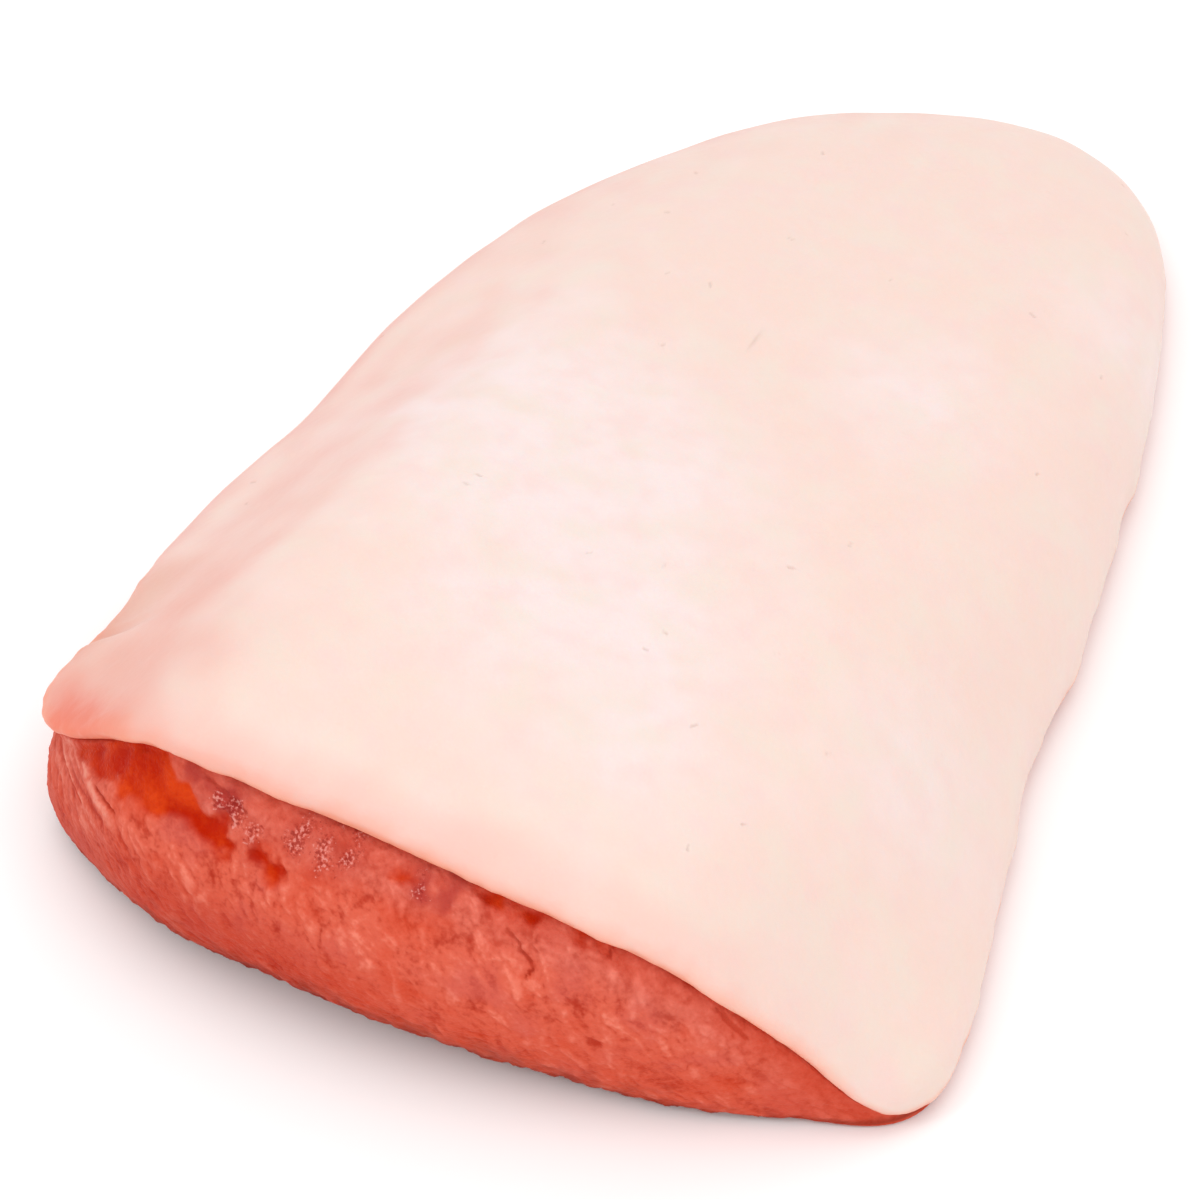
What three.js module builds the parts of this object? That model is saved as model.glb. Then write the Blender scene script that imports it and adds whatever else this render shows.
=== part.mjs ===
// Raw picanha, the rump cap of beef: a wedge of lean muscle under one layer of fat.
// Millimetres, +Z up. The thick cut end faces -Y, the thin tip points to +Y, and the
// underside lies on Z = 0 with the origin below the middle of the piece.
import * as THREE from "three";

// Outline of the fat layer seen from above, anticlockwise from the left side.
const OUTLINE = [
  [-77, -97], // left side, drawn in behind the corner
  [-75.5, -113.5], // left corner
  [-42, -125], // cut, left part
  [-16, -122], // cut, middle
  [49, -113], // cut, right part
  [70, -104], // right corner, on the cut
  [88, -92], // right corner, its point
  [74, -36], // right side
  [68, -18], // right side, a shallow dent
  [63.5, 9], // right side, middle
  [56.5, 35], // right side, behind the middle
  [44, 77], // right side, towards the tip
  [21, 120], // tip, right shoulder
  [-5, 131], // tip, end
  [-47, 112], // tip, left shoulder
  [-79, 62], // left side, towards the tip
  [-87.5, 14], // left side, behind the middle
  [-87, -21], // left side, middle
  [-88, -56], // left side, its widest
  [-79, -82], // left side, towards the cut
];
// Point inside the outline that every ring of the surface shrinks towards.
const MIDDLE = new THREE.Vector2(-4, -24);

// Thickness of the lean along the cut, at equal steps from its left end to its right end.
const LEAN_AT_CUT = [25, 47, 46, 43, 36, 10];
const CUT_LEFT = -75;
const CUT_RIGHT = 83;

// Fat layer
const FAT_TOP = 8.5; // thickness over the lean
const FAT_SIDE = 6; // thickness where it rolls down the sides
const CROWN = 1.5; // rise of the middle over the edge at the cut
const TIP_HEIGHT = 25; // height of the whole piece at the thin tip
const SIDE_LIP = 3; // height at which the fat ends along the sides and the tip
const FLATNESS = 4.5; // the larger, the flatter the top and the tighter its round edge
const ROUNDNESS = 0.45; // the smaller, the steeper the edge
const LIP_ROUND = 2.5; // radius of the lip where the fat ends

// The cut end: the fat ends at the top of the lean here, and rolls down on either side of it.
const CUT_LINE = -112; // where the thickness starts to fall away to the tip
const TIP_LINE = 120; // where it has reached the height of the tip
const EXPOSED_LEFT = -52; // the exposed lean ends here on the left side
const EXPOSED_RIGHT = -95; // and here at the right corner
const CLIMB_LEFT = 34; // length over which the lip of the fat climbs to the top of the lean
const CLIMB_RIGHT = 11;

// Exposed face of the lean
const RECESS = 2; // the fat overhangs the lean by this much
const CUT_BULGE = 11.5; // the cut swells out this far past the lip of the fat
const SIDE_BULGE = -2; // the same for the thin strip along the sides, which hides under the fat
const BULGE_FADE = 6; // the larger, the sooner the bulge fades round the corners
const FOOT = 2; // the underside stops this far inside the lip
const SHOULDER = 0.85; // share of the height where the upper curve of the face turns
const HEEL = 0.2; // share of the height where the lower curve of the face turns

// Torn hollow in the cut, under the fat near the left end
const HOLLOW_X = -37; // its middle along the cut
const HOLLOW_HALF_LENGTH = 18;
const HOLLOW_HEIGHT = 0.86; // its middle, as a share of the height of the face
const HOLLOW_HALF_HEIGHT = 0.15;
const HOLLOW_DEPTH = 3;

const GAP = 0.3; // clearance between the fat and the lean

// Fineness of the surface
const AROUND = 120; // points round each ring
const CAP_RINGS = 13; // outer surface of the fat
const LIP_RINGS = 3; // its rounded lip
const BED_RINGS = 8; // fat and lean where they lie on each other
const FACE_RINGS = 10; // exposed lean, from the fat to the underside
const UNDERSIDE_RINGS = 3;

const mix = THREE.MathUtils.lerp;
const smooth = (value) => THREE.MathUtils.smoothstep(value, 0, 1);
const count = (from, to) => Array.from({ length: to - from + 1 }, (_, k) => from + k);

function outlinePoints() {
  const corners = OUTLINE.map(([x, y]) => new THREE.Vector3(x, y, 0));
  const curve = new THREE.CatmullRomCurve3(corners, true, "centripetal");
  return curve.getSpacedPoints(AROUND).slice(0, AROUND);
}

const thickness = new THREE.SplineCurve(
  LEAN_AT_CUT.map((height, k) => new THREE.Vector2(k / (LEAN_AT_CUT.length - 1), height)),
);

const shareAcross = (x) => THREE.MathUtils.clamp((x - CUT_LEFT) / (CUT_RIGHT - CUT_LEFT), 0, 1);

// Thickness of the lean at the cut for a place across the piece.
const leanAcross = (x) => thickness.getPoint(shareAcross(x)).y;

// Each point of the rim knows how far it belongs to the cut, the height of the fat's lip there,
// and the direction and distance from the middle.
const rim = outlinePoints().map(({ x, y }) => {
  const exposed = mix(EXPOSED_LEFT, EXPOSED_RIGHT, shareAcross(x));
  const climb = mix(CLIMB_LEFT, CLIMB_RIGHT, shareAcross(x));
  const cutShare = smooth((exposed - y) / climb);
  const lip = mix(SIDE_LIP, Math.max(SIDE_LIP, leanAcross(x)), cutShare);
  const out = new THREE.Vector2(x, y).sub(MIDDLE);
  const reach = out.length();
  return { cutShare, lip, out: out.divideScalar(reach), reach };
});

// Height of the fat's top, away from its round edge.
function crown(x, y) {
  const towardsTip = smooth((y - CUT_LINE) / (TIP_LINE - CUT_LINE));
  return mix(leanAcross(x) + FAT_TOP + CROWN, TIP_HEIGHT, towardsTip);
}

// A point at a distance from the middle along a spoke.
function spokePoint(spoke, distance, z) {
  const { x, y } = MIDDLE.clone().addScaledVector(spoke.out, distance);
  return new THREE.Vector3(x, y, z);
}

// A point on a dome over the piece. The share runs from 0 in the middle to 1 at the rim, inset
// draws the rim in, edge is the rim's height over the lip, and depth lowers the crown.
function domePoint(spoke, share, { inset, edge, depth }) {
  const point = spokePoint(spoke, share * (spoke.reach - inset), 0);
  const rise = (1 - share ** FLATNESS) ** ROUNDNESS;
  return point.setZ(mix(spoke.lip + edge, crown(point.x, point.y) - depth, rise));
}

// A point on the quarter round that ends the fat, from its outer surface to its flat under edge.
function lipPoint(spoke, share) {
  const turn = (share * Math.PI) / 2;
  const inwards = LIP_ROUND * (1 - Math.cos(turn));
  return spokePoint(spoke, spoke.reach - inwards, spoke.lip + LIP_ROUND * (1 - Math.sin(turn)));
}

// A point on the exposed lean. The share runs from 0 under the fat to 1 at the underside.
function facePoint(spoke, share) {
  const height = spoke.lip - GAP;
  const facingCut = Math.max(0, -spoke.out.y) ** BULGE_FADE;
  const bulge = (4 / 3) * mix(SIDE_BULGE, CUT_BULGE, spoke.cutShare * facingCut);
  const profile = new THREE.CubicBezierCurve(
    new THREE.Vector2(-RECESS, height),
    new THREE.Vector2(bulge, SHOULDER * height),
    new THREE.Vector2(bulge, HEEL * height),
    new THREE.Vector2(-FOOT, 0),
  );
  const { x: offset, y: z } = profile.getPoint(share);
  const distance = spoke.reach + offset;
  const along = (spokePoint(spoke, distance, z).x - HOLLOW_X) / HOLLOW_HALF_LENGTH;
  const up = (z / height - HOLLOW_HEIGHT) / HOLLOW_HALF_HEIGHT;
  const hollow = spoke.cutShare * HOLLOW_DEPTH * Math.exp(-(along ** 2) - up ** 2);
  return spokePoint(spoke, distance - hollow, z);
}

const ring = (place) => rim.map((spoke) => place(spoke));
const crowded = (share) => 1 - (1 - share) ** 2;

const domeRings = (rings, dome) =>
  count(1, rings).map((k) => ring((spoke) => domePoint(spoke, crowded(k / rings), dome)));

// A closed surface through rings of points, from a first pole over every ring to a last pole.
function closedSurface(firstPole, rings, lastPole) {
  const points = [firstPole, ...rings.flat(), lastPole];
  const last = points.length - 1;
  const index = [];
  const at = (level, k) => 1 + level * AROUND + (k % AROUND);
  for (let k = 0; k < AROUND; k++) {
    index.push(0, at(0, k), at(0, k + 1));
    for (let level = 0; level < rings.length - 1; level++) {
      index.push(at(level, k), at(level + 1, k), at(level + 1, k + 1));
      index.push(at(level, k), at(level + 1, k + 1), at(level, k + 1));
    }
    index.push(last, at(rings.length - 1, k + 1), at(rings.length - 1, k));
  }
  return new THREE.BufferGeometry().setFromPoints(points).setIndex(index);
}

// The fat starts from its bed, as the lean does, so that both split that surface alike. Its
// faces would then point inwards, so their order is turned round.
function fatCap() {
  const bedDome = { inset: FAT_SIDE, edge: 0, depth: FAT_TOP };
  const topDome = { inset: 0, edge: LIP_ROUND, depth: 0 };
  const bed = domeRings(BED_RINGS, bedDome);
  const lip = count(1, LIP_RINGS).map((k) => ring((spoke) => lipPoint(spoke, k / LIP_RINGS)));
  const top = domeRings(CAP_RINGS, topDome);
  const bedPole = domePoint(rim[0], 0, bedDome);
  const topPole = domePoint(rim[0], 0, topDome);
  const geometry = closedSurface(bedPole, [...bed, ...lip.reverse(), ...top.reverse()], topPole);
  geometry.index.array.reverse();
  return geometry;
}

function lean() {
  const topDome = { inset: FAT_SIDE + GAP, edge: -GAP, depth: FAT_TOP + GAP };
  const top = domeRings(BED_RINGS, topDome);
  const topPole = domePoint(rim[0], 0, topDome);
  const face = count(0, FACE_RINGS).map((k) => ring((spoke) => facePoint(spoke, k / FACE_RINGS)));
  const foot = face[FACE_RINGS];
  const pole = new THREE.Vector3(MIDDLE.x, MIDDLE.y, 0);
  const underside = count(1, UNDERSIDE_RINGS - 1).map((k) =>
    foot.map((point) => point.clone().lerp(pole, k / UNDERSIDE_RINGS)),
  );
  return closedSurface(topPole, [...top, ...face, ...underside], pole);
}

function piece(name, geometry, color, roughness) {
  geometry.computeVertexNormals();
  const material = new THREE.MeshStandardMaterial({ color, roughness, metalness: 0 });
  const mesh = new THREE.Mesh(geometry, material);
  mesh.name = name;
  return mesh;
}

const picanha = new THREE.Group();
picanha.add(piece("fat_cap", fatCap(), 0xfce8e0, 0.45));
picanha.add(piece("lean", lean(), 0xdc5f4a, 0.4));

// The origin lies on the underside, below the middle of the piece's box.
const boxMiddle = new THREE.Box3().setFromObject(picanha).getCenter(new THREE.Vector3());
picanha.children.forEach((mesh) => mesh.position.set(-boxMiddle.x, -boxMiddle.y, 0));

export default picanha;
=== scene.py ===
import random
from math import cos, radians, sin

import bmesh
import bpy
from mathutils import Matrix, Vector, kdtree, noise
from mathutils.bvhtree import BVHTree


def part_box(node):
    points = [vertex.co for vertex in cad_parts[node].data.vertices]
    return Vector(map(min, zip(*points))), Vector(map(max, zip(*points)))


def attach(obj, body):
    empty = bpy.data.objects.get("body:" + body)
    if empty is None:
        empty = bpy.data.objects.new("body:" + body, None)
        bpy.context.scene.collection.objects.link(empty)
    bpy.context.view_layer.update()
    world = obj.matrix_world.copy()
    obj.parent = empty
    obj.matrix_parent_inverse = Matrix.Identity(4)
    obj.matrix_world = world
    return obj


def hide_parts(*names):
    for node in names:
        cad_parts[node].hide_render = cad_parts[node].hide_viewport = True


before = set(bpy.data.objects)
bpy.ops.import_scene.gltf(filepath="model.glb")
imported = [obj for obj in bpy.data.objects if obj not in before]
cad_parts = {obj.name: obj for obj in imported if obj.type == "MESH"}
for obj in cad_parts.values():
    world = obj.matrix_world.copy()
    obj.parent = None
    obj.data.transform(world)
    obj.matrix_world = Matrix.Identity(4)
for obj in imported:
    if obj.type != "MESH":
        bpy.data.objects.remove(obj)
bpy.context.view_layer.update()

# Lean
# The rump cap muscle: raw beef, cut across its thick end with a knife. The cut shows the ends of
# the muscle bundles as a coarse grain, and under the fat near its left end it is torn and wet.
MM = 0.001

BUNDLE = 2.4  # width of the cut ends of the muscle bundles, in mm as all sizes here
LUMP = 2.8  # width of the lumps they make
STRAND = 4.2  # spacing of the strands and of the gaps between them
THREAD = 2.2  # spacing of the finer threads
STIR, STIR_WIDTH = 2.2, 6  # all of these wind this far from straight, in bends of this width
STROKE = 2.0  # they are this much longer upwards, as the knife pulled them
SLANT = 0.4  # and lean to the left by this share of their height
GRAIN_RELIEF = 0.36
FINE_GRAIN = 1.1
FINE_RELIEF = 0.12
OFF_CUT_RELIEF = 0.25  # share of the relief that is left away from the cut
CALM_START, CALM_FULL = 35, 65  # towards the right end the grain is calmer
CALM_GRAIN, CALM_RELIEF = 0.35, 0.4  # by these shares
LOW_EDGE_WAVES = [(4.5, 0.55), (2, 0.4)]  # width and height of the ragged edge that turns under
CUT_BACK = -80  # the cut lies in front of this line
END_DRAWN_IN = 1.5  # the upper left end shrank back under the fat
END_START, END_FULL = -50, -72
END_LOW, END_HIGH = 8, 26

# Places on the cut: distance across the piece, height over the underside, half width or radius
TEARS = [
    [(-66, 31, 2.8), (-58, 36, 5), (-51, 40, 6), (-43, 41.5, 6)],
    [(-43, 41.5, 6), (-36, 41, 4.5), (-30, 39, 3), (-24.5, 37.8, 3)],
    [(-19.5, 38.4, 2.8), (-16, 37.6, 3.2)],
    [(1, 41.6, 0.6), (6, 42, 1.6), (11, 42.4, 1.2)],
    [(12, 43.2, 0), (16, 42.8, 0.7), (21, 42, 1.1), (27, 40.8, 0.9)],
    [(27, 40.8, 0.9), (33, 39.6, 0.9), (37, 38.7, 0.9), (40.5, 37.8, 0.4)],
]
TEAR_DEPTH = 0.8
TEAR_LUMP = 5
TEAR_RELIEF = 0.5
# Glints: wet bumpy patches. Their pale specks are painted highlights and the dark specks between them
# are painted shade
GLINTS = [
    (-29.5, 43.9, 2.4),
    (-25.5, 42.4, 3),
    (-21, 40.3, 2.6),
    (-20.5, 37.4, 1.8),
    (-13, 42.4, 2.6),
    (-8.5, 42.6, 3.2),
    (-4, 42.6, 2.8),
    (8.5, 42, 2.6),
]
GLINT_GRAIN = 1.1
GLINT_RELIEF = 0.35
MEMBRANES = [(-34.5, 45.8, 3), (-31, 45.4, 3.2), (-27, 44.6, 3), (9, 42, 3), (13.5, 42, 3)]
# Slits, sunk in, whose dark colour is painted shade in them; the third is a painted shadow along the
# fat's lip
SLITS = [
    [(-68, 24.5), (-59, 24.2)],
    [(-55, 31), (-48.5, 31.4)],
    [(-31.7, 46.1), (-27.6, 45.2), (-23.4, 43.6)],
    [(24, 39), (26.6, 37.8), (27.3, 36.7), (29.2, 35.5), (29.9, 34), (29.2, 32.6)],
    [(40.3, 38.8), (40.5, 37.5)],
    [(57.6, 29.2), (59.2, 27.2), (62.3, 23.3)],
]
SLIT_HALF_WIDTH = 0.48
SLIT_DEPTH = 0.5
PATCH_EDGE_WAVES = [(5, 2.2), (1.8, 1.0)]  # the edges of all these patches wander like this
SILVERSKIN_START, SILVERSKIN_FULL = -45, -58  # thin connective tissue covers the upper left end
SILVERSKIN_LOW, SILVERSKIN_HIGH = 17, 29
FIBRE_WIDTH = 1.7
FIBRE_LENGTH = 14  # its fibres lie level round the corner
DULL_START, DULL_FULL = -22, -60  # the left end has dried a little
DRIED_START, DRIED_FULL = 12, 4  # and so has the part this close to the fat
LEFT_SHADE_START, LEFT_SHADE_FULL = 20, -20  # painted shade: the left half is darker low down, where it faces down
FRESH_START, FRESH_FULL = 52, 72  # the right end is the freshest, and its red is also painted on the lower part as shade where it faces down

# Colours of the lean, as they are read off a screen
GAP_RED = (174, 50, 32)
FLESH_RED = (213, 94, 72)
BUNDLE_PINK = (238, 136, 114)
WARM_RED = (204, 64, 34)
COOL_RED = (204, 94, 82)
DRIED_RED = (188, 82, 66)
DRIED_PINK = (224, 122, 106)
# the fresh red of the right end, also used as painted shade on the lower part
FRESH_AND_SHADE_RED = (202, 62, 30)
# painted shade low down on the left half
LEFT_LOW_SHADE_RED = (168, 22, 4)
# darker close under the fat's lip: partly painted shade, partly a more orange red
UNDER_FAT_RED = (204, 60, 30)
SILVERSKIN_PINK = (224, 156, 138)
TEAR_RED = (178, 28, 0)
TEAR_ORANGE = (212, 66, 18)
# painted shade on the tear close under the fat's lip
TEAR_SHADE = (172, 30, 4)
MEMBRANE_RED = (174, 60, 52)
# painted shade between the bumps of the glint patches, and painted highlights on them
GLINT_SHADE_RED = (140, 36, 32)
GLINT_HIGHLIGHT_PINK = (231, 154, 143)
# painted shade on the edge that turns under and close to the board
LOW_EDGE_SHADE_RED = (112, 24, 8)


def smooth(value, start, end):
    """0 up to start and 1 from end on, with a soft step between them. Start may be the larger."""
    share = min(1.0, max(0.0, (value - start) / (end - start)))
    return share * share * (3 - 2 * share)


def ripple(place, size):
    """Smooth noise from -1 to 1 whose swells are about as wide as the size."""
    return noise.noise(place / size)


def waves(place, kinds):
    """The sum of several ripples, which are given as widths and heights."""
    return sum(rise * ripple(place, width) for width, rise in kinds)


def ridge(place, size, half_width):
    """1 along thin winding lines and 0 between them, for lines about as far apart as the size."""
    return smooth(abs(ripple(place, size)), half_width, 0)


def distance_to_path(point, path):
    """Distance from a point to a line of straight runs, in the plane or in space."""
    point = Vector(point)
    best = float("inf")
    for start, end in zip(map(Vector, path), map(Vector, path[1:])):
        run = end - start
        share = min(1.0, max(0.0, (point - start).dot(run) / run.length_squared))
        best = min(best, (point - start - share * run).length)
    return best


def depth_in_band(point, band):
    """How far a point of the cut lies inside a band of places with half widths, below 0 outside."""
    point = Vector(point)
    best = -float("inf")
    for (x0, z0, half0), (x1, z1, half1) in zip(band, band[1:]):
        start, run = Vector((x0, z0)), Vector((x1 - x0, z1 - z0))
        share = min(1.0, max(0.0, (point - start).dot(run) / run.length_squared))
        best = max(best, half0 + share * (half1 - half0) - (point - start - share * run).length)
    return best


def depth_in_spots(point, spots):
    """The same for round spots, which are places with radii."""
    return max(radius - (Vector(point) - Vector((x, z))).length for x, z, radius in spots)


def surface(node, wanted=lambda middle: True):
    """The solid's surface, or the faces of it whose middle is wanted, to measure distances from."""
    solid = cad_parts[node].data
    faces = [face.vertices for face in solid.polygons if wanted(face.center)]
    return BVHTree.FromPolygons([point.co for point in solid.vertices], faces)


def fine_copy(node, name):
    """The solid's form as a new object, with its facets turned into fine, smooth quads."""
    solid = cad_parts[node].data
    mesh = bpy.data.meshes.new(name)
    mesh.from_pydata([v.co for v in solid.vertices], [], [p.vertices for p in solid.polygons])
    form = bmesh.new()
    form.from_mesh(mesh)
    bmesh.ops.remove_doubles(form, verts=form.verts, dist=0.01 * MM)
    bmesh.ops.join_triangles(
        form,
        faces=form.faces,
        angle_face_threshold=radians(60),
        angle_shape_threshold=radians(90),
    )
    form.to_mesh(mesh)
    form.free()
    piece = bpy.data.objects.new(name, mesh)
    bpy.context.scene.collection.objects.link(piece)
    piece.modifiers.new("fine", "SUBSURF").levels = 2
    with bpy.context.temp_override(object=piece):
        bpy.ops.object.modifier_apply(modifier="fine")
    return piece


def split_finer(mesh, wanted, cuts):
    """Splits the faces whose middle is wanted into a finer grid."""
    form = bmesh.new()
    form.from_mesh(mesh)
    faces = [face for face in form.faces if wanted(face.calc_center_median())]
    edges = list({edge for face in faces for edge in face.edges})
    bmesh.ops.subdivide_edges(form, edges=edges, cuts=cuts, use_grid_fill=True)
    form.to_mesh(mesh)
    form.free()


def keep_numbers(mesh, looks):
    """Stores the numbers of each point under their names, for the material to read."""
    for name in looks[0]:
        values = [look[name] for look in looks]
        mesh.attributes.new(name, "FLOAT", "POINT").data.foreach_set("value", values)


lean = fine_copy("lean", "lean_muscle")
fat_surface = surface("fat_cap")


def is_on_cut(middle):
    is_bare = fat_surface.find_nearest(middle)[3] > 0.6 * MM and middle.z > 0.05 * MM
    return is_bare and middle.y < CUT_BACK * MM


split_finer(lean.data, is_on_cut, cuts=2)


def share_on_cut(place, normal):
    """1 on the cut and 0 on the sides and the underside, with soft borders."""
    facing = smooth(normal.y, 0.1, -0.3)
    return facing * smooth(place.y, CUT_BACK, CUT_BACK - 15) * smooth(place.z, 0, 0.5)


def share_low(place, normal):
    """For the ragged edge that turns under, its relief and painted shade: 1 on it, 0 above it and on the
    flat underside.
    """
    turned = normal.z + 0.15 * ripple(place, 4) + 0.08 * ripple(place, 1.5)
    near_board = 0.7 * smooth(place.z + 0.6 * ripple(place, 3), 3, 1)
    return max(smooth(turned, -0.15, -0.7), near_board) * smooth(place.z, 0.1, 1)


def swirled(place):
    """The place as the grain sees it: stirred, slanted, and shortened along the knife's pull."""
    swirl = place + STIR * noise.noise_vector(place / STIR_WIDTH)
    swirl.x += SLANT * place.z
    swirl.z /= STROKE
    return swirl


def muscle_grain(place, normal, swirl):
    """Lumps, strands and threads, less the gaps between them. It fades out on the underside."""
    patchy = smooth(ripple(place, 13), -0.35, 0.35)
    strand = ridge(swirl, STRAND, 0.13)
    thread = ridge(swirl, THREAD, 0.16)
    gap = ridge(swirl + Vector((40, 0, 0)), STRAND, 0.1) * smooth(ripple(place, 3.5), -0.05, 0.3)
    grain = 0.5 * ripple(swirl, LUMP) + 0.45 * strand * patchy + 0.2 * thread - 0.3 * gap
    grain *= 1 - CALM_GRAIN * smooth(place.x, CALM_START, CALM_FULL)
    return grain * (smooth(place.z, 0, 0.5) * smooth(normal.z, -0.92, -0.6))


def bundle_end(swirl):
    """The cut end of a bundle, which stands proud by its own amount, with a groove round it."""
    distances, middles = noise.voronoi(swirl / BUNDLE)
    inside = smooth(distances[1] - distances[0], 0, 0.4)
    return inside * min(0.6, 0.35 + noise.noise(5.3 * middles[0])) - 0.2


noise.seed_set(9)  # the grain swirls the same way each time
looks = []
points = lean.data.vertices
outward = [point.normal.copy() for point in points]
for point, normal in zip(points, outward):
    place = point.co / MM
    to_fat = fat_surface.find_nearest(point.co)[3] / MM
    bare = smooth(to_fat, 0.4, 1.6) * smooth(place.z, 0.1, 1.5)
    on_cut = share_on_cut(place, normal)
    low = share_low(place, normal)
    fine = ripple(place, FINE_GRAIN)
    swirl = swirled(place)
    grain = muscle_grain(place, normal, swirl)
    height = GRAIN_RELIEF * grain + FINE_RELIEF * fine

    wet = glint = membrane = silver = dull = 0
    if on_cut:
        bundle = bundle_end(swirl)
        grain += bundle
        height += GRAIN_RELIEF * bundle

        spot = (place.x, place.z)
        wander = waves(place, PATCH_EDGE_WAVES)
        wet = on_cut * smooth(max(depth_in_band(spot, tear) for tear in TEARS) + wander, 0, 2)
        glint = on_cut * smooth(depth_in_spots(spot, GLINTS) + wander, -2.5, 2.5) * (1 - 0.7 * wet)
        membrane = on_cut * smooth(depth_in_spots(spot, MEMBRANES) + wander, 0, 2.5) * (1 - wet)
        dull_end = 0.2 * smooth(place.x + 2 * wander, DULL_START, DULL_FULL)
        dull = on_cut * max(dull_end, smooth(to_fat + wander, DRIED_START, DRIED_FULL))
        silver = on_cut * smooth(place.x + 2 * wander, SILVERSKIN_START, SILVERSKIN_FULL) * (1 - wet)
        silver *= smooth(place.z + 3 * wander, SILVERSKIN_LOW, SILVERSKIN_HIGH)
        slit = on_cut * max(
            smooth(distance_to_path(spot, path) + 0.12 * fine, SLIT_HALF_WIDTH, 0) for path in SLITS
        )

        level = Vector((place.x / FIBRE_LENGTH, place.y / FIBRE_LENGTH, place.z / FIBRE_WIDTH))
        fibre = 1.6 * noise.noise(level + 0.05 * swirl / STRAND)
        grain += silver * (fibre - grain)
        height += silver * (GRAIN_RELIEF * fibre - height)
        tear_lump = 1.5 * ripple(swirl, TEAR_LUMP)
        grain += wet * (tear_lump - grain)
        height += wet * (TEAR_RELIEF * tear_lump - TEAR_DEPTH - height)
        # painted shade in the slits
        grain -= 1.1 * slit
        height += glint * GLINT_RELIEF * ripple(place, GLINT_GRAIN) - SLIT_DEPTH * slit

    height *= 1 - CALM_RELIEF * smooth(place.x, CALM_START, CALM_FULL)
    left_end = smooth(place.x, END_START, END_FULL) * smooth(place.z, END_LOW, END_HIGH)
    height -= on_cut * END_DRAWN_IN * left_end
    height += low * waves(Vector((place.x, place.y, 0)), LOW_EDGE_WAVES)
    relief_share = OFF_CUT_RELIEF + (1 - OFF_CUT_RELIEF) * on_cut
    point.co += normal * (bare * relief_share * height * MM)

    fresh_end = smooth(place.x, FRESH_START, FRESH_FULL)
    # painted shade on the lower part, where it faces down
    downward_shade = 0.8 * smooth(normal.z, 0.3, -0.3) * smooth(place.x, DULL_FULL, DULL_START)
    # painted shade where the left half faces down
    left_low_shade = smooth(normal.z, 0.4, -0.2) * smooth(place.x, LEFT_SHADE_START, LEFT_SHADE_FULL)
    looks.append(
        {
            "wet": wet,
            "glint": glint,
            "membrane": membrane,
            "dull": dull,
            "fresh_end_and_low_shade": on_cut * max(fresh_end, downward_shade),
            "left_low_shade_share": on_cut * left_low_shade,
            "silver": silver,
            "under_fat": on_cut * smooth(to_fat + 3 * ripple(place, 7) + 0.8 * fine, 6.5, 2),
            "low": low,
            "grain": grain,
        }
    )
lean.data.shade_smooth()
keep_numbers(lean.data, looks)


def as_light(tone):
    """A colour that is read off a screen, from 0 to 255, as light for a shader."""
    shares = [value / 255 for value in tone]
    return [s / 12.92 if s <= 0.04045 else ((s + 0.055) / 1.055) ** 2.4 for s in shares] + [1.0]


class Wire:
    """A value in a material. Arithmetic between wires and numbers adds Math nodes."""

    def __init__(self, finish, socket):
        self.finish = finish
        self.socket = socket

    def combine(self, operation, first, second):
        return self.finish.node("ShaderNodeMath", {"operation": operation}, {0: first, 1: second})

    def __add__(self, other):
        return self.combine("ADD", self, other)

    def __sub__(self, other):
        return self.combine("SUBTRACT", self, other)

    def __rsub__(self, other):
        return self.combine("SUBTRACT", other, self)

    def __mul__(self, other):
        return self.combine("MULTIPLY", self, other)

    __radd__ = __add__
    __rmul__ = __mul__

    def step(self, start, end):
        """0 up to start and 1 from end on, with a soft step between them."""
        settings = {"interpolation_type": "SMOOTHSTEP"}
        inputs = {"Value": self, "From Min": start, "From Max": end}
        return self.finish.node("ShaderNodeMapRange", settings, inputs)


class Finish:
    """A material under construction: its Principled shader and the nodes that feed it."""

    def __init__(self, piece, name):
        material = bpy.data.materials.new(name)
        material.use_nodes = True
        self.tree = material.node_tree
        self.shader = self.tree.nodes["Principled BSDF"]
        piece.data.materials.clear()
        piece.data.materials.append(material)
        self.place = self.node("ShaderNodeTexCoord", {}, {}, "Object")

    def connect(self, sockets, values):
        for name, value in values.items():
            if isinstance(value, Wire):
                self.tree.links.new(value.socket, sockets[name])
            else:
                sockets[name].default_value = value

    def node(self, kind, settings, inputs, output=0):
        made = self.tree.nodes.new(kind)
        for name, value in settings.items():
            setattr(made, name, value)
        self.connect(made.inputs, inputs)
        return Wire(self, made.outputs[output])

    def number(self, name):
        """A number that the mesh keeps for each of its points."""
        return self.node("ShaderNodeAttribute", {"attribute_name": name}, {}, "Fac")

    def mottle(self, size, detail=2.0):
        """Noise from 0 to 1 whose spots are about as wide as the size in mm."""
        inputs = {"Vector": self.place, "Scale": 1 / (size * MM), "Detail": detail}
        return self.node("ShaderNodeTexNoise", {}, inputs, "Fac")

    def blend(self, first, second, share):
        """The first colour, with the second over it to the given share."""
        under, over = [tone if isinstance(tone, Wire) else as_light(tone) for tone in (first, second)]
        return self.node("ShaderNodeMix", {"data_type": "RGBA"}, {"Factor": share, 6: under, 7: over}, 2)

    def bump(self, height, depth):
        """A normal for small relief, for a height from 0 to 1 and the depth in mm it stands for."""
        return self.node("ShaderNodeBump", {}, {"Height": height, "Distance": depth * MM})

    def feed(self, **inputs):
        """Sets or links inputs of the shader, whose names are written with _ for a space."""
        self.connect(self.shader.inputs, {name.replace("_", " "): v for name, v in inputs.items()})


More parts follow.
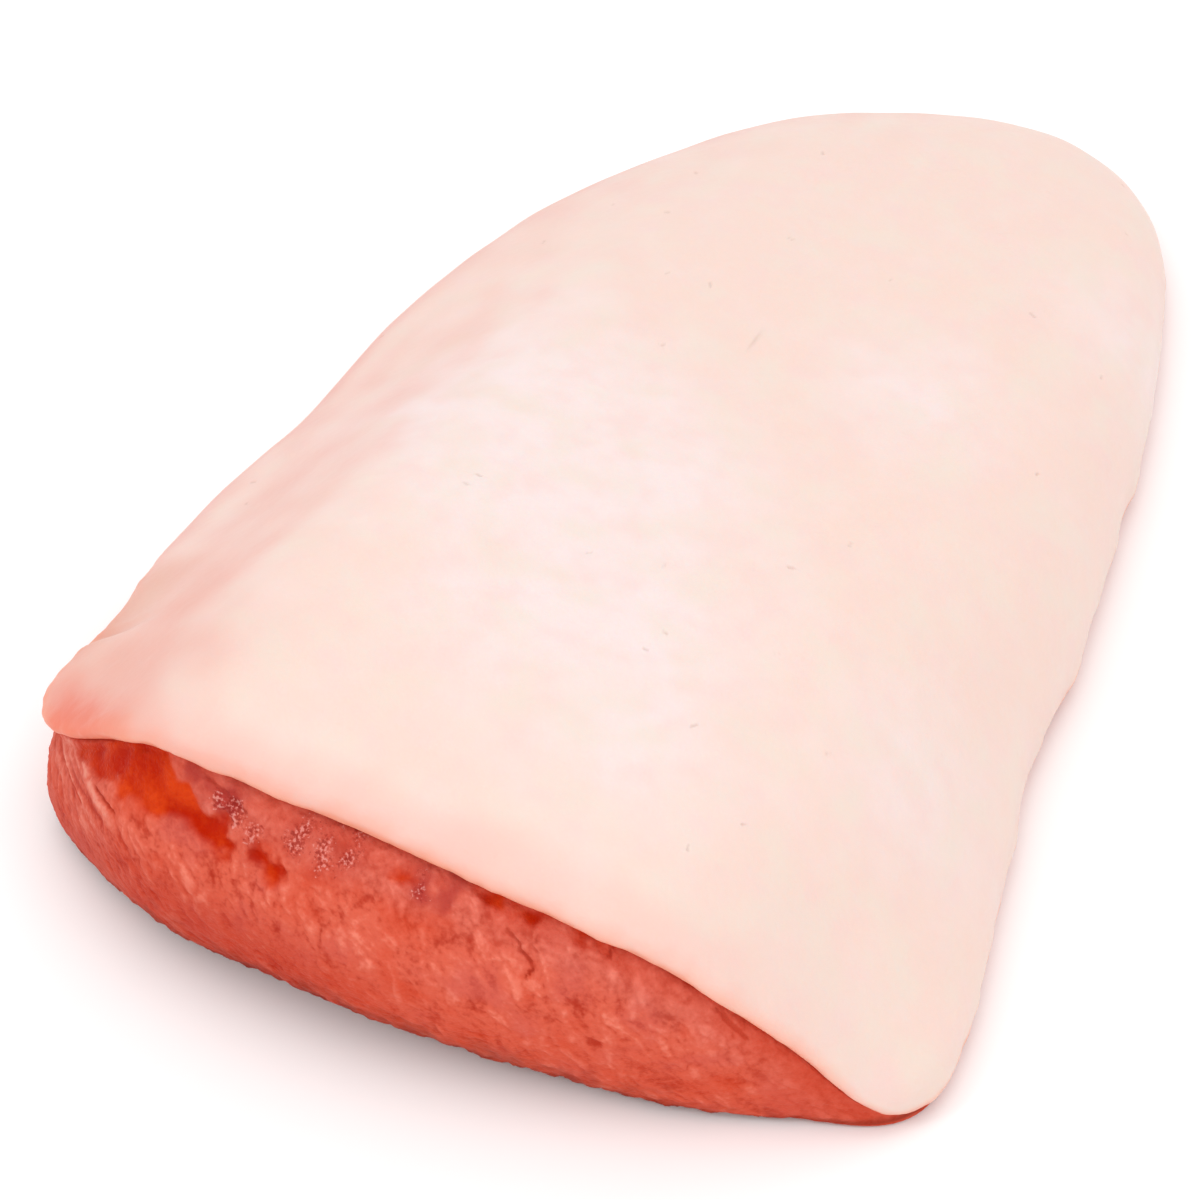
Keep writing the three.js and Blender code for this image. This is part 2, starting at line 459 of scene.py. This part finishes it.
meat = Finish(lean, "raw_lean")
wet, grain = meat.number("wet"), meat.number("grain")
glint, under_fat = meat.number("glint"), meat.number("under_fat")
speckle, warmth, grit = meat.mottle(1.0), meat.mottle(11), meat.mottle(0.6)
# painted highlights: pale specks on the bumps of the glint patches; painted shade: dark specks between
# them
glint_highlight = (glint * 0.5 + grit).step(0.97, 1.13)
glint_shade = (glint * 0.5 - grit).step(-0.08, 0.12)
tint = 0.5 + grain * 0.55 + (meat.mottle(7, 3) - 0.5) * 0.7 + (speckle - 0.5) * 0.75

flesh = meat.blend(GAP_RED, FLESH_RED, tint.step(0.0, 0.55))
flesh = meat.blend(flesh, BUNDLE_PINK, tint.step(0.5, 1.1) * 0.8)
flesh = meat.blend(flesh, WARM_RED, warmth.step(0.5, 0.7) * 0.5)
flesh = meat.blend(flesh, COOL_RED, (1 - warmth).step(0.5, 0.7) * 0.5)
dried = meat.blend(DRIED_RED, DRIED_PINK, tint.step(0.0, 1.0))
flesh = meat.blend(flesh, dried, meat.number("dull") * 0.6)
# fresher red at the right end, and painted shade on the lower part
flesh = meat.blend(flesh, FRESH_AND_SHADE_RED, meat.number("fresh_end_and_low_shade") * 0.45)
# painted shade low down on the left half
flesh = meat.blend(flesh, LEFT_LOW_SHADE_RED, meat.number("left_low_shade_share") * 0.4)
# partly painted shade under the fat's lip, partly a more orange red
flesh = meat.blend(flesh, UNDER_FAT_RED, under_fat * 0.25)
flesh = meat.blend(flesh, SILVERSKIN_PINK, meat.number("silver") * tint.step(0.4, 0.95) * 0.58)
tear = meat.blend(TEAR_RED, TEAR_ORANGE, tint.step(0.0, 1.1))
# painted shade on the tear close under the fat's lip
tear = meat.blend(tear, TEAR_SHADE, under_fat * 0.25)
flesh = meat.blend(flesh, tear, wet)
flesh = meat.blend(flesh, MEMBRANE_RED, meat.number("membrane") * 0.8 + glint * 0.4)
# painted shade between the glint bumps, then painted highlights on them
flesh = meat.blend(flesh, GLINT_SHADE_RED, glint_shade * 0.65)
flesh = meat.blend(flesh, GLINT_HIGHLIGHT_PINK, glint_highlight * 0.56)
# painted shade on the edge that turns under
flesh = meat.blend(flesh, LOW_EDGE_SHADE_RED, meat.number("low") * 0.8)
meat.feed(
    Base_Color=flesh,
    Roughness=0.5 - wet * 0.15 - glint_highlight * 0.2,
    Coat_Weight=glint_highlight * 0.35,
    Coat_Roughness=0.12,
    Specular_IOR_Level=0.03,
    Subsurface_Weight=0.1,
    Subsurface_Radius=(1.0, 0.25, 0.15),
    Subsurface_Scale=2 * MM,
    Normal=meat.bump(speckle * 0.6 + meat.mottle(0.5) * 0.4, 0.25),
)
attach(lean, "root")
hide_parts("lean")

# Fat cap
# The layer of raw fat that grows over the muscle, trimmed to about 8 mm and wiped smooth. It is
# pale and a little see-through, so it turns pink where it thins out over the lean.
SWELLS = [(30, 0.6), (12, 0.25)]  # width and height of its soft swells
LIP_WAVES = [(11, 0.8), (4, 0.3), (2, 0.2)]  # the same along its ragged lip at the cut
CREASE = [(-77.5, -96, 28.5), (-73.2, -93.8, 31.8), (-68.4, -91.3, 35.2), (-61, -89.8, 41)]
CREASE_HALF_WIDTH = 2.6  # it runs in behind the left corner
CREASE_DEPTH = 0.9
WAIST = Vector((-80, -88, 24))  # and the side is drawn in there
WAIST_RADIUS = 22
WAIST_DEPTH = 1.1
CORNER = Vector((-64, -115, 33))  # thinnest at the left corner of the cut
CORNER_RADIUS = 46
RAW_EDGE = [
    (-73, -109, 31),
    (-70, -113.5, 31.5),
    (-65, -117, 35),
    (-58, -119.6, 41),
    (-50, -122, 46.5),
]
RAW_EDGE_HALF_WIDTH = 8  # the lean shows through along it
CUT_EDGE = 12  # turns pink this far from the cut
PALE_PATCHES = [  # thick and pale here, with a painted sheen over it, as places in plan with radii
    (-34, -20, 38),
    (-16, -34, 40),
    (4, -62, 36),
    (22, -78, 24),
    (14, 28, 20),
    (40, 78, 20),
    (62, -50, 16),
]
STAIN_EDGE_WAVES = [(24, 11), (9, 5)]  # the edges of its stains wander like this
NICKS = 34  # small cuts that the trimming knife left
NICK_LENGTH = (0.3, 1.2)
NICK_HALF_WIDTH = 0.42
NICK_DEPTH = 0.2
NICK_MARGIN = 1.2  # the mesh is finer this far round each of them
NICK_LEVEL = 0.7  # they lie where the fat faces up at least this much
NICK_FREE_CORNER = 60  # and this far from the left corner

# Colours of the fat, as they are read off a screen
FAT_CREAM = (232, 205, 194)
FAT_WHITE_AND_SHEEN = (233, 215, 212)
FAT_BLUSH = (232, 202, 196)
FAT_YELLOW = (227, 211, 198)
SIDE_THIN_AND_SHADE_PINK = (224, 165, 153)
CUT_EDGE_PINK = (232, 182, 170)
LIP_PINK = (236, 158, 132)
LIP_ORANGE = (236, 150, 120)
CORNER_PINK = (222, 154, 137)
WAIST_SHADE_TAN = (206, 138, 112)
# painted shade in the drawn-in hollow behind the crease
CORNER_ORANGE = (234, 134, 98)
RAW_RED = (222, 104, 78)
NICK_GREY = (208, 180, 168)

fat = fine_copy("fat_cap", "fat_layer")
lean_surface = surface("lean")
cut_surface = surface("lean", is_on_cut)


def is_near_cut(middle):
    return middle.y < CUT_BACK * MM and 1 * MM < lean_surface.find_nearest(middle)[3] < 8 * MM


split_finer(fat.data, is_near_cut, cuts=1)

chance = random.Random(5)
fat_low, fat_high = [Vector(corner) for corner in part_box("fat_cap")]


def is_nick_place(hit):
    place, normal = hit[:2]
    return place and normal.z > NICK_LEVEL and (place / MM - CORNER).length > NICK_FREE_CORNER


nicks = []
while len(nicks) < NICKS:
    start = Vector([chance.uniform(low, high) for low, high in zip(fat_low, fat_high)])
    turn, length = chance.uniform(0, 360), chance.uniform(*NICK_LENGTH) * MM
    ends = [start, start + length * Vector((cos(radians(turn)), sin(radians(turn)), 0))]
    hits = [fat_surface.ray_cast((end.x, end.y, fat_high.z + 1), (0, 0, -1)) for end in ends]
    if all(map(is_nick_place, hits)):
        nicks.append([hit[0] / MM for hit in hits])
nick_places = kdtree.KDTree(NICKS)
for index, (start, end) in enumerate(nicks):
    nick_places.insert((start + end) / 2, index)
nick_places.balance()


def nick_at(place):
    """1 in the middle of a nick and 0 away from it."""
    near = nicks[nick_places.find(place)[1]]
    return smooth(distance_to_path(place, near) + 0.2 * ripple(place, 1), NICK_HALF_WIDTH, 0)


def is_near_nick(middle):
    return nick_places.find(middle / MM)[2] < NICK_LENGTH[1] / 2 + NICK_MARGIN


split_finer(fat.data, is_near_nick, cuts=5)

looks = []
points = fat.data.vertices
outward = [point.normal.copy() for point in points]
for point, normal in zip(points, outward):
    place = point.co / MM
    to_lean = lean_surface.find_nearest(point.co)[3] / MM
    to_cut = cut_surface.find_nearest(point.co)[3] / MM
    to_waist = (place - WAIST).length
    outer = smooth(to_lean, 0.5, 3)
    nick = nick_at(place)

    height = waves(place, SWELLS)
    height *= 0.4 + 0.6 * smooth(normal.z, 0.3, 0.8)
    height += smooth(to_lean, 6, 3) * waves(place, LIP_WAVES)
    crease = smooth(distance_to_path(place, CREASE), CREASE_HALF_WIDTH, 0)
    crease *= smooth(place.x, CREASE[-1][0], CREASE[0][0])
    behind_crease = smooth(place.y, CREASE[0][1] - 0.5, CREASE[0][1] + 3)
    waist = behind_crease * smooth(to_waist, WAIST_RADIUS, 4)
    height -= CREASE_DEPTH * crease + WAIST_DEPTH * waist
    height -= NICK_DEPTH * nick
    point.co += normal * (outer * height * MM)

    wander = waves(place, STAIN_EDGE_WAVES)
    from_pale = depth_in_spots((place.x, place.y), PALE_PATCHES) + 0.5 * wander
    # pinker where the fat turns down, mostly on the left: it thins there, and the rest is painted shade
    turned = smooth(normal.z + 0.08 * ripple(place, 9), 0.978, 0.6)
    raw = smooth(distance_to_path(place, RAW_EDGE) + 0.2 * wander, RAW_EDGE_HALF_WIDTH, 0)
    looks.append(
        {
            "thin": smooth(to_lean, 8, 1),
            "cut_edge": smooth(to_cut + 0.4 * wander, CUT_EDGE, 3) * smooth(place.x, 85, 15),
            "corner": smooth((place - CORNER).length + 0.8 * wander, CORNER_RADIUS, 8),
            "raw": raw * smooth(place.x, -42, -64) * smooth(place.x, -78, -66),
            # painted shade in the drawn-in hollow behind the crease
            "waist_shade": smooth(to_waist + 0.3 * wander, 21, 9),
            # whiter where the fat is thick, and there a painted sheen
            "pale": smooth(from_pale, -12, 30),
            "side": turned * (0.05 + 0.95 * smooth(place.x, 20, -50)),
            "nick": nick,
        }
    )
fat.data.shade_smooth()
keep_numbers(fat.data, looks)

tallow = Finish(fat, "raw_fat")
thin, corner, cut_edge = tallow.number("thin"), tallow.number("corner"), tallow.number("cut_edge")
white = tallow.number("pale") + (tallow.mottle(10, 3) - 0.5) * 0.9
blush, cream = tallow.mottle(6, 1), tallow.mottle(9, 1)
blotchy_lip = (thin + (blush - 0.5) * 0.5).step(0.3, 0.9)

# whiter where the fat is thick, and there a painted sheen
skin = tallow.blend(FAT_CREAM, FAT_WHITE_AND_SHEEN, white)
skin = tallow.blend(skin, FAT_BLUSH, blush.step(0.4, 0.8) * 0.5)
skin = tallow.blend(skin, FAT_YELLOW, cream.step(0.4, 0.8) * 0.6)
# pinker side: thinner fat there, and painted shade
skin = tallow.blend(skin, SIDE_THIN_AND_SHADE_PINK, tallow.number("side") * 0.9)
skin = tallow.blend(skin, CUT_EDGE_PINK, cut_edge * 0.75)
skin = tallow.blend(skin, LIP_PINK, cut_edge * blotchy_lip * 0.7)
skin = tallow.blend(skin, LIP_ORANGE, thin.step(0.6, 1.0) * 0.85)
skin = tallow.blend(skin, CORNER_PINK, corner * 0.68)
# painted shade in the drawn-in hollow
skin = tallow.blend(skin, WAIST_SHADE_TAN, tallow.number("waist_shade") * 0.45)
skin = tallow.blend(skin, CORNER_ORANGE, corner * thin.step(0.3, 0.9) * 0.8)
skin = tallow.blend(skin, RAW_RED, tallow.number("raw") * (0.4 + 0.6 * blush))
skin = tallow.blend(skin, NICK_GREY, tallow.number("nick") * 0.45)
tallow.feed(
    Base_Color=skin,
    Roughness=0.36 + tallow.mottle(5) * 0.12,
    Specular_IOR_Level=0.3,
    Subsurface_Weight=0.3,
    Subsurface_Radius=(1.0, 0.5, 0.35),
    Subsurface_Scale=3 * MM,
    Normal=tallow.bump(tallow.mottle(3, 3), 0.2),
)
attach(fat, "root")
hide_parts("fat_cap")

# Studio
# A white floor with soft light from all round and a large softbox above, and the camera in front
# of the cut and above it.
VIEW_AZIMUTH = 32  # degrees to the right of the cut
VIEW_ELEVATION = 47
VIEW_DISTANCE = 790
VIEW_WIDTH = 214  # width of the frame at the point that the camera looks at
VIEW_TARGET = Vector((-11.7, -32.9, 18.6))
FLOOR_HALF = 2000
FLOOR_GAP = 0.3  # the floor lies this far below the piece, so that the two don't flicker
PAPER_WHITE = (0.97, 0.97, 0.97, 1)
LAMPS = [  # name, width in m, power in W, place in m
    ("softbox", 0.9, 3.5, (0.25, -0.2, 1.2)),
    ("sparkle_lamp", 0.15, 0.8, (-0.35, -0.75, 0.85)),
]

floor_mesh = bpy.data.meshes.new("floor")
floor_signs = [(-1, -1), (1, -1), (1, 1), (-1, 1)]
floor_corners = [(x * FLOOR_HALF * MM, y * FLOOR_HALF * MM, -FLOOR_GAP * MM) for x, y in floor_signs]
floor_mesh.from_pydata(floor_corners, [], [(0, 1, 2, 3)])
floor = bpy.data.objects.new("floor", floor_mesh)
bpy.context.scene.collection.objects.link(floor)
Finish(floor, "white_paper").feed(Base_Color=PAPER_WHITE, Roughness=0.9, Specular_IOR_Level=0.1)

world = bpy.data.worlds.new("soft_light")
world.use_nodes = True
world.node_tree.nodes["Background"].inputs["Color"].default_value = (1, 1, 1, 1)
world.node_tree.nodes["Background"].inputs["Strength"].default_value = 1.0
bpy.context.scene.world = world


def aim(thing, target):
    """Turns a lamp or the camera from where it stands to look at a point."""
    thing.rotation_euler = (target - thing.location).to_track_quat("-Z", "Y").to_euler()


for name, width, power, spot in LAMPS:
    lamp = bpy.data.objects.new(name, bpy.data.lights.new(name, "AREA"))
    lamp.data.size = width
    lamp.data.energy = power
    lamp.location = spot
    aim(lamp, Vector((0, 0, 0)))
    bpy.context.scene.collection.objects.link(lamp)

camera_lens = bpy.data.cameras.new("camera")
camera_lens.lens = camera_lens.sensor_width * VIEW_DISTANCE / VIEW_WIDTH
camera = bpy.data.objects.new("camera", camera_lens)
turn, tilt = radians(VIEW_AZIMUTH), radians(VIEW_ELEVATION)
towards_camera = Vector((sin(turn) * cos(tilt), -cos(turn) * cos(tilt), sin(tilt)))
camera.location = (VIEW_TARGET + VIEW_DISTANCE * towards_camera) * MM
aim(camera, VIEW_TARGET * MM)
bpy.context.scene.collection.objects.link(camera)
bpy.context.scene.camera = camera
bpy.context.scene.view_settings.view_transform = "Standard"
